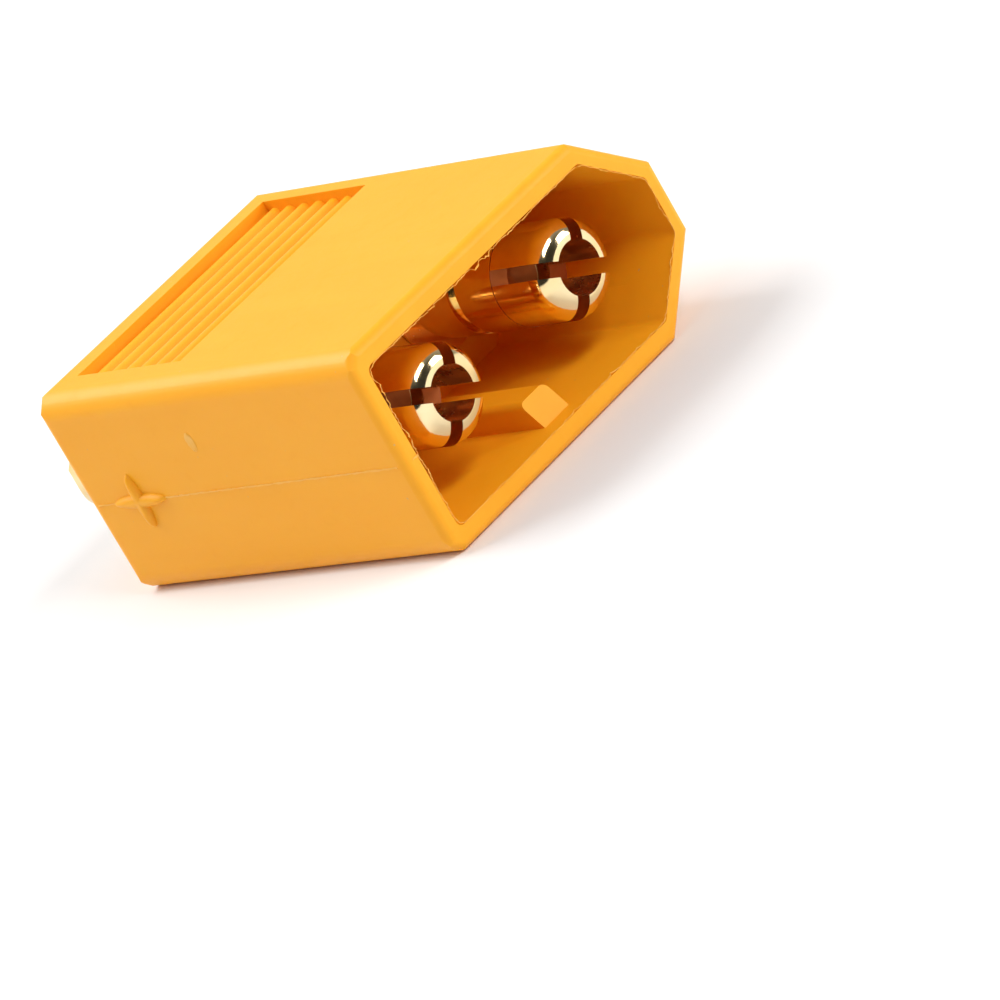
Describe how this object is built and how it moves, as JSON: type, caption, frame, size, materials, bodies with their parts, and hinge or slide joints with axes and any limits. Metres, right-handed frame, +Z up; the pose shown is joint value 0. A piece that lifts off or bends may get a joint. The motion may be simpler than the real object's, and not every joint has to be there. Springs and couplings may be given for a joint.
{
  "type": "shrouded battery lead connector",
  "caption": "Keyed, shrouded half of a polarised two-pole battery lead connector, with gold split pins and slanted solder cups.",
  "frame": {"origin": "centre of the bounding box's underside", "axes": "+Y from the mating rim towards the solder cups, +Z up, square to the wide faces, +X towards the bevelled negative side"},
  "size_m": [0.016, 0.0204, 0.0081],
  "materials": {
    "housing_plastic": "satin moulded polyamide, saturated golden yellow",
    "contact_gold": "turned brass with polished gold plating"
  },
  "bodies": {
    "root": {"housing": "housing_plastic", "positive_contact": "contact_gold", "negative_contact": "contact_gold"}
  },
  "joints": []
}
